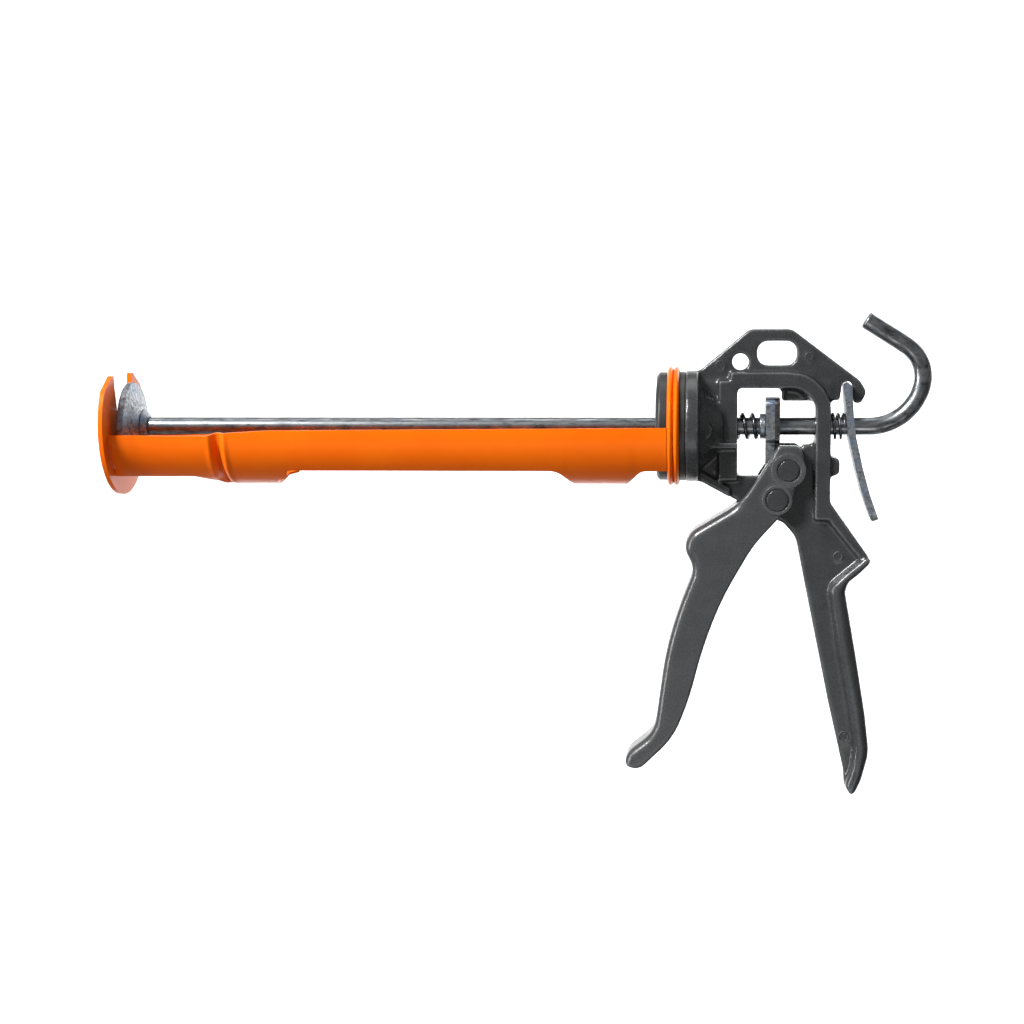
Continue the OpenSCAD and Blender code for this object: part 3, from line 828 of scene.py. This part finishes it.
@dataclass
class Swivel:
    """The nylon bushes and the split ring that hold the cradle on the frame."""

    dome: float = 1.8
    bore: float = 9.06
    recess: float = 12.5
    sleeve: float = 11.56

    def front_bush(self) -> None:
        """The front bush: a disc with a crowned rim and a shallow recess round the ring."""
        lo, hi = low("front_bush"), high("front_bush")
        radius = hi[2]
        disc_end = low("cradle_end_plate")[0] - 0.3
        x0, floor = lo[0], lo[0] + 2.5
        rim = rounded_path([(x0 + 0.2, radius - 5.5, 0), (x0 + 0.5, radius - 1.4, 1.2),
                            (x0 + self.dome, radius, 0.9), (disc_end, radius, 0.5),
                            (disc_end, self.sleeve, 0), (hi[0], self.sleeve, 0),
                            (hi[0], self.bore, 0), (floor, self.bore, 0),
                            (floor, self.recess, 0.2), (x0, self.recess, 0.5),
                            (x0, radius - 7, 0)])
        place_piece(turned("front_bush_moulding", rim), "frame", "black_plastic", "front_bush")

    def build(self) -> None:
        """The front bush, and the rear bush and the split ring with eased edges."""
        self.front_bush()
        place_eased("rear_bush_moulding", "rear_bush", 0.45, 3, "frame", "black_plastic")
        place_eased("split_ring", "retaining_ring", 0.2, 2, "frame", "spring_steel")


# ---- castings


@dataclass
class Castings:
    """The die-cast frame and trigger, with the round edges that a mould gives them."""

    voxel: float = 0.68
    fine_voxel: float = 0.68 * 0.92
    flange_half: float = 9.5
    flange_round: float = 3.6
    trigger_half: float = 10.0
    trigger_round: float = 4.2

    def flange_line(self) -> np.ndarray:
        """Middle line of the handle's rear flange, in X and Z."""
        corners = [(82.5, -59.5, 0), (72.5, -67.5, 4), (68.2, -73.5, 5), (72.2, -99, 80),
                   (78, -131, 60), (80, -147, 20), (78, -159.5, 10), (74.8, -167.8, 0)]
        return rounded_path([(x + FRAME_X, z, r) for x, z, r in corners], 8, False)

    def frame_skin(self) -> None:
        """The frame casting: an even skin over the CAD solid, rounded like a casting.

        Points of the handle's flange beyond the middle of its width move towards its middle
        line by sqrt(1 - ((|y| - y0) / r)^2), which turns its square edges half round.
        """
        piece = cad_copy("frame_casting_skin", "frame_casting")
        remeshed(piece, self.voxel)
        p = points_of(piece)
        line = self.flange_line()
        start = self.flange_half - self.flange_round
        near = nearest_on(line, p[:, [0, 2]])
        gap = np.linalg.norm(p[:, [0, 2]] - near, axis=1)
        bar = (np.abs(p[:, 1]) > start) & (gap < 6.5) & (p[:, 2] < -50)
        depth = np.clip((np.abs(p[bar, 1]) - start) / self.flange_round, 0, 1)
        keep = np.sqrt(np.clip(1 - (0.985 * depth) ** 2, 0, 1))[:, None]
        p[np.ix_(bar, [0, 2])] = near[bar] + (p[np.ix_(bar, [0, 2])] - near[bar]) * keep
        set_points(piece, p)
        remeshed(piece, self.voxel)
        relaxed(piece, 4)
        # The frame takes the darker copy of the grey paint, which is painted shade.
        place_piece(piece, "frame", "grey_paint", "frame_casting", finish="shaded_frame_paint")

    def front_line(self) -> np.ndarray:
        """The trigger's front outline, in X and Z, from its head to its tail."""
        corners = [(38.4, -13.5, 0), (25.4, -33.6, 30), (2.4, -47.3, 9), (-1, -54.6, 8),
                   (4.1, -64.4, 10), (-3.7, -84, 180), (-9.2, -104, 150), (-14.2, -140, 14),
                   (-26.4, -149.6, 9), (-28.4, -156, 0)]
        return rounded_path([(x + FRAME_X, z, r) for x, z, r in corners], 8, False)

    def trigger_skin(self) -> None:
        """The trigger casting: an even skin with a wide round along its front.

        At depth d behind the front outline the half width is h - r + sqrt(r^2 - (r - d)^2)
        for d under r, and points further out move in to it.
        """
        piece = cad_copy("trigger_casting_skin", "trigger_casting")
        remeshed(piece, self.fine_voxel)
        p = points_of(piece)
        half, r = self.trigger_half, self.trigger_round
        near = nearest_on(self.front_line(), p[:, [0, 2]])
        d = np.linalg.norm(p[:, [0, 2]] - near, axis=1)
        fade = smooth_step(-p[:, 2], 28.0, 38.0)
        limit = half - r + np.sqrt(np.clip(r * r - (r - np.minimum(d, r)) ** 2, 0, None))
        limit = limit + (1 - fade) * (half + 1 - limit)
        p[:, 1] = np.clip(p[:, 1], -limit, limit)
        set_points(piece, p)
        remeshed(piece, self.fine_voxel)
        relaxed(piece, 4)
        place_piece(piece, "trigger", "grey_paint", "trigger_casting")

    def pins(self) -> None:
        """The two riveted pins with soft flat heads, and the roller between the cheeks.

        Each pin is one outline of (y, r) turned about its own axis: shaft, under-head, head.
        """
        for node, body in (("trigger_pivot_pin", "frame"), ("drive_pin", "trigger")):
            end, head = high(node)[1], (high(node)[0] - low(node)[0]) / 2
            under, shaft = end - 1.0, head - 2.0
            outline = [(end, 0.01, 0), (end, head, 0.45), (under, head, 0.1), (under, shaft, 0)]
            outline += [(-y, r, c) for y, r, c in outline[::-1]]
            piece = turned(node + "_rivet", rounded_path(outline, 4), 72, Axis.ACROSS,
                           pin_centre(node))
            place_piece(piece, body, "painted_rivet", node)
        place_eased("drive_roller_turned", "drive_roller", 0.3, 3, "trigger", "steel")

    def boss_rings(self) -> None:
        """The crisp raised rings round both pins, on both cheeks of the trigger."""
        rings = []
        cheek, top, bore = 9.4, 10.68, 5.35
        for node, outer in (("drive_pin", 7.75), ("trigger_pivot_pin", 6.75)):
            outline = [(cheek, bore, 0), (top, bore, 0.25), (top, outer, 0.3), (cheek, outer, 0)]
            rings += on_both_sides(outline, 72, pin_centre(node))
        place_piece(joined("trigger_boss_rings", rings), "trigger", "grey_paint")

    def mould_marks(self) -> None:
        """The small round marks that the mould's ejector pins leave, on both sides.

        Each is a flat disc just proud of the face, inside a low round rim.
        """
        marks = []
        sunk, disc, rim = 0.5, 0.12, 0.5
        for x, z, face, radius in ((15.5, 27.5, 3.0, 2.3), (55, 31.5, 3.0, 2.0),
                                   (14.3, -18.4, 4.0, 2.2), (68.9, -58.6, 4.0, 2.2),
                                   (72.3, -142.0, 4.0, 2.5)):
            outline = [(face - sunk, 0.01, 0), (face + disc, 0.01, 0),
                       (face + disc, radius - 0.85, 0.1), (face + rim, radius - 0.5, 0.2),
                       (face + rim, radius - 0.1, 0.2), (face - sunk, radius, 0)]
            marks += on_both_sides(outline, 40, (x + FRAME_X, z))
        # The marks take the frame's darker paint, which is painted shade.
        place_piece(joined("ejector_marks", marks), "frame", "grey_paint", finish="shaded_frame_paint")

    def build(self) -> None:
        """Makes both castings and their pins."""
        self.frame_skin()
        self.trigger_skin()
        self.pins()
        self.boss_rings()
        self.mould_marks()


def pin_centre(node: str) -> tuple[float, float]:
    """X and Z of a pin's own axis."""
    middle = (low(node) + high(node)) / 2
    return middle[0], middle[2]


def on_both_sides(outline: list[tuple[float, float, float]], sides: int,
                  centre: tuple[float, float]) -> list[Object]:
    """An outline of (y, r, round) corners turned about a line across the gun, and its mirror."""
    return [turned("ring", rounded_path([(side * y, r, c) for y, r, c in outline], 4), sides,
                   Axis.ACROSS, centre) for side in (-1, 1)]


# ---- drive


@dataclass
class Drive:
    """The grip plates, the springs and the release lever round the push rod."""

    drive_wire: float = 0.8
    release_wire: float = 0.6
    drive_turns: float = 3.0
    release_turns: float = 2.5
    closing: float = 0.35

    def coil(self, name: str, node: str, wire: float, turns: float) -> Object:
        """A helical spring: wire carried along (x, m cos a, m sin a) with a rising with x.

        The rise is 0.65 t + 0.35 (3t^2 - 2t^3), slower at both ends, as closed ends are.

        Args:
            name: the object's name.
            node: the CAD node whose ends and outer radius it takes.
            wire: the wire's radius.
            turns: number of turns.

        Returns:
            The new object.
        """
        x0, x1, mean = low(node)[0], high(node)[0], high(node)[2] - wire
        n = int(turns * 48) + 1
        t = np.linspace(0, 1, n)
        a = 2 * np.pi * turns * t
        lift = smooth_step(t, 0.0, 1.0) * self.closing + t * (1 - self.closing)
        x = x0 + wire + (x1 - x0 - 2 * wire) * lift
        out = np.column_stack([np.zeros(n), np.cos(a), np.sin(a)])
        centres = np.column_stack([x, mean * out[:, 1], mean * out[:, 2]])
        run = np.gradient(centres, axis=0)
        run /= np.linalg.norm(run, axis=1)[:, None]
        across = np.cross(run, out)
        ring = wire * circle(16)
        return swept(name, centres, out, across, np.broadcast_to(ring, (n, *ring.shape)))

    def springs(self) -> None:
        """Both springs, each with a mesh of its own."""
        drive = self.coil("drive_spring_wire", "drive_spring", self.drive_wire, self.drive_turns)
        place_piece(drive, "frame", "spring_steel", "drive_spring")
        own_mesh(drive)
        release = self.coil("release_spring_wire", "release_spring", self.release_wire,
                            self.release_turns)
        place_piece(release, "frame", "spring_steel", "release_spring")
        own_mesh(release)

    def plates(self) -> None:
        """The grip plates, the spring's seat and the release lever with eased edges."""
        for node, body, slot, width in (("grip_plate_front", "grip", "zinc_plate", 0.45),
                                        ("grip_plate_rear", "grip", "steel", 0.3),
                                        ("spring_seat", "grip", "zinc_plate", 0.6),
                                        ("release_lever", "release", "zinc_plate", 0.5)):
            place_eased(node + "_plate", node, width, 3, body, slot)

    def build(self) -> None:
        """Makes every piece of the drive."""
        self.springs()
        self.plates()


# ---- push rod and piston


@dataclass
class PushRod:
    """The push rod with its threaded front end and its bent hook."""

    radius: float = 4.0
    stud: float = 3.0
    shoulder: float = 9.35
    hook: float = 82.3
    bend1: float = 24.0
    bend2: float = 17.0
    join: float = -16.0
    lean: float = 57.6
    tip: float = 21.3
    chamfer: float = 1.2

    def centre_line(self) -> tuple[np.ndarray, np.ndarray]:
        """The rod's middle line and its outward direction: a straight, two arcs, a straight."""
        hook_x = FRAME_X + self.hook
        c1 = np.array([hook_x, self.bend1])
        j, e = math.radians(self.join), math.radians(self.lean)
        c2 = c1 + (self.bend1 - self.bend2) * np.array([math.cos(j), math.sin(j)])
        x = np.linspace(self.shoulder, hook_x, 120, endpoint=False)
        straight = np.column_stack([x, np.zeros_like(x), np.full_like(x, -np.pi / 2)])
        arcs = []
        for c, r, a0, a1, n in ((c1, self.bend1, -np.pi / 2, j, 44), (c2, self.bend2, j, e, 44)):
            a = np.linspace(a0, a1, n, endpoint=False)
            arcs.append(np.column_stack([c[0] + r * np.cos(a), c[1] + r * np.sin(a), a]))
        s = np.linspace(0, self.tip, 16)
        last = c2 + self.bend2 * np.array([math.cos(e), math.sin(e)])
        tail = np.column_stack([last[0] - s * math.sin(e), last[1] + s * math.cos(e),
                                np.full_like(s, e)])
        path = np.vstack([straight, *arcs, tail])
        centres = np.column_stack([path[:, 0], np.zeros(len(path)), path[:, 1]])
        out = np.column_stack([np.cos(path[:, 2]), np.zeros(len(path)), np.sin(path[:, 2])])
        return centres, out

    def build(self) -> None:
        """The rod: a circle carried along its middle line, with a chamfered end and a stud."""
        centres, out = self.centre_line()
        cap_steps = 4
        turn = np.linspace(0, 1, cap_steps + 1)[1:] * np.pi / 2
        tip_dir = centres[-1] - centres[-2]
        tip_dir /= np.linalg.norm(tip_dir)
        centres[-1] -= tip_dir * self.chamfer
        cap = centres[-1] + tip_dir * self.chamfer * np.sin(turn)[:, None]
        size = np.concatenate([np.full(len(centres), self.radius - 0.04),
                               self.radius - self.chamfer * (1 - np.cos(turn))])
        size[0] -= 0.4
        centres = np.vstack([centres, cap])
        out = np.vstack([out, np.repeat(out[-1:], cap_steps, axis=0)])
        across = np.broadcast_to([0.0, 1.0, 0.0], centres.shape)
        ring = circle(56)
        rod = swept("push_rod_bar", centres, out, across, ring * size[:, None, None], True)
        sharpen(rod, 40)
        place_piece(rod, "rod", "rod_steel", "push_rod")
        self.thread()

    def thread(self) -> None:
        """The threaded stud: radius r - 0.28 |saw|, saw from -1 to 1 over the 1 mm pitch."""
        x0 = float(low("push_rod")[0])
        x = np.linspace(x0, self.shoulder + 0.2, 73)
        depth = 0.28 * np.abs(((x - x0) % 1.0) * 2 - 1)
        start = np.clip((x - x0) / 0.8, 0, 1)
        size = (self.stud - depth) * (0.86 + 0.14 * start)
        ring = circle(36)
        centres = np.column_stack([x, np.zeros_like(x), np.zeros_like(x)])
        out = np.broadcast_to([0.0, 0.0, -1.0], centres.shape)
        across = np.broadcast_to([0.0, 1.0, 0.0], centres.shape)
        stud = swept("push_rod_thread", centres, out, across, ring * size[:, None, None], True)
        sharpen(stud, 30)
        place_piece(stud, "rod", "rod_steel")


@dataclass
class Piston:
    """The dished piston with its hub, washer and nut."""

    rim_width: float = 3.0
    metal: float = 1.5

    def disc(self) -> None:
        """The dished disc: a rolled rim, a stepped cone and a flat middle, turned."""
        lo, hi = low("piston_disc"), high("piston_disc")
        radius, x0, back = hi[2], lo[0], hi[0]
        t, rim, bore = self.metal, x0 + self.rim_width, 3.15
        profile = rounded_path([
            (back - t, bore, 0), (back - t, 6.9, 1.0), (rim - t, radius - 4.2, 1.2),
            (rim - t, radius - t, 0.3), (x0 + 0.1, radius - t, 0.4), (x0, radius, 0.5),
            (rim - 0.2, radius, 1.2), (rim, radius - 2.2, 1.0), (rim + 0.6, radius - 4.6, 1.5),
            (rim + 2.4, radius - 9.2, 2.0), (back - 0.6, 9.0, 1.5), (back, 7.6, 1.0),
            (back, bore, 0)])
        place_piece(turned("piston_pressing", profile, 160), "piston", "zinc_plate",
                    "piston_disc")

    def hub(self) -> None:
        """The hub: a short cone with a round foot behind the disc."""
        lo, hi = low("piston_hub"), high("piston_hub")
        bore = 4.12
        profile = rounded_path([(lo[0], bore, 0), (lo[0], hi[2], 0.3),
                                (lo[0] + 1.1, hi[2] - 1.2, 1.0), (hi[0] - 0.3, 5.7, 0.4),
                                (hi[0], 5.3, 0.3), (hi[0], bore, 0)])
        place_piece(turned("piston_hub_collar", profile, 96), "piston", "zinc_plate",
                    "piston_hub")

    def build(self) -> None:
        """The disc and its hub, and the washer and the nut with eased edges."""
        self.disc()
        self.hub()
        place_eased("piston_washer_disc", "piston_washer", 0.2, 2, "rod", "zinc_plate")
        place_eased("piston_hex_nut", "piston_nut", 0.35, 2, "rod", "steel")


# ---- studio


@dataclass
class Studio:
    """Seamless paper, soft lights and the camera."""

    drop: float = 850.0
    camera_place: tuple[float, float, float] = (271.97, -835.3, 68.2)
    camera_turn: tuple[float, float, float] = (82.678, 0.273, 3.722)
    lens: float = 64.94
    shift: tuple[float, float] = (-0.08, 0.0)

    def floor(self) -> None:
        """The seamless paper: a floor well below the gun, bent up behind it by a quarter circle.

        It is pale at the back and mid grey under the gun, so that its reflection doesn't
        wash out the sides and the underside.
        """
        z0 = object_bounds()[0][2] / MM - self.drop
        bend, depth, width = 700.0, 1500.0, 9000.0
        a = np.linspace(0, np.pi / 2, 24)
        y = np.concatenate([[-6000], depth + bend * np.sin(a), [depth + bend]])
        z = np.concatenate([[z0], z0 + bend * (1 - np.cos(a)), [z0 + 6000]])
        x = np.array([-width, width])
        points = np.stack(np.broadcast_arrays(x[None, :], y[:, None], z[:, None]), axis=-1)
        floor = new_object("studio_floor", points.reshape(-1, 3), grid_faces(len(y), 2))
        floor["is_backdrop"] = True
        material, tree, shader, place = start_material("studio_paper")
        place_y = add(tree, "SeparateXYZ", Vector=place).outputs["Y"]
        pale = add(tree, "MapRange", {"interpolation_type": "SMOOTHSTEP"}, Value=place_y,
                   i1=0.6, i2=1.5, i3=0.3, i4=0.93).outputs[0]
        tone = add(tree, "CombineColor", Red=pale, Green=pale, Blue=pale).outputs[0]
        set_inputs(tree, shader, {"Base Color": tone, "Roughness": 0.9,
                                  "Specular IOR Level": 0.1})
        floor.data.materials.append(material)

    def light(self, name: str, place: tuple, aim: tuple, size: tuple, watts: float,
              spread: float) -> None:
        """A rectangular soft light.

        Args:
            name: the light's name.
            place: where it stands, in metres.
            aim: the point that it faces, in metres.
            size: its width and height, in metres.
            watts: its power.
            spread: the full angle of its beam, in degrees.
        """
        lamp = bpy.data.lights.new(name, "AREA")
        lamp.shape = "RECTANGLE"
        lamp.size, lamp.size_y = size
        lamp.energy = watts
        lamp.spread = math.radians(spread)
        holder = bpy.data.objects.new(name, lamp)
        holder.location = place
        holder.rotation_euler = (Vector(aim) - Vector(place)).to_track_quat("-Z", "Y").to_euler()
        bpy.context.scene.collection.objects.link(holder)

    def lights(self) -> None:
        """A key from above left, low fill, wide top and backdrop lights, a strip and a rim."""
        middle = (0.18, 0.0, -0.03)
        self.light("key_light", (-0.8, -1.0, 1.1), middle, (0.45, 0.5), 8.0, 70)
        self.light("low_fill", (0.2, -0.9, -0.6), middle, (1.2, 0.4), 0.9, 110)
        self.light("top_light", (0.2, 0.3, 1.5), (0.2, 0.05, 0), (1.8, 0.9), 2.6, 90)
        self.light("backdrop_light", (0.2, 0.6, 1.6), (0.2, 2.2, -0.4), (3.4, 0.6), 62, 100)
        self.light("left_strip", (-0.75, -0.35, -0.02), (0.26, 0.0, -0.08), (0.1, 0.7), 0.8, 60)
        self.light("rim_light", (0.9, 1.0, 0.6), middle, (0.8, 0.6), 1.2, 90)
        world = bpy.data.worlds.new("studio_sky")
        world.use_nodes = True
        sky = world.node_tree.nodes["Background"]
        sky.inputs["Color"].default_value = grey(1.0)
        sky.inputs["Strength"].default_value = 0.28
        bpy.context.scene.world = world

    def camera(self) -> None:
        """The camera, at the place and turn that show the gun as its side view does."""
        data = bpy.data.cameras.new("camera")
        data.lens = self.lens
        data.shift_x, data.shift_y = self.shift
        data.clip_start, data.clip_end = 0.05, 50
        eye = bpy.data.objects.new("camera", data)
        eye.location = [v * MM for v in self.camera_place]
        eye.rotation_euler = [math.radians(v) for v in self.camera_turn]
        bpy.context.scene.collection.objects.link(eye)
        bpy.context.scene.camera = eye

    def build(self) -> None:
        """Sets up the whole studio."""
        self.floor()
        self.lights()
        self.camera()
        bpy.context.scene.view_settings.view_transform = "Standard"


def main() -> None:
    """Builds the gun, piece by piece, and the studio round it."""
    logging.basicConfig(level=logging.INFO, format="%(message)s")
    for assembly in (Cradle(), Swivel(), Castings(), Drive(), PushRod(), Piston(), Studio()):
        log.info("building %s", type(assembly).__name__)
        assembly.build()


if __name__ == "__main__":
    main()
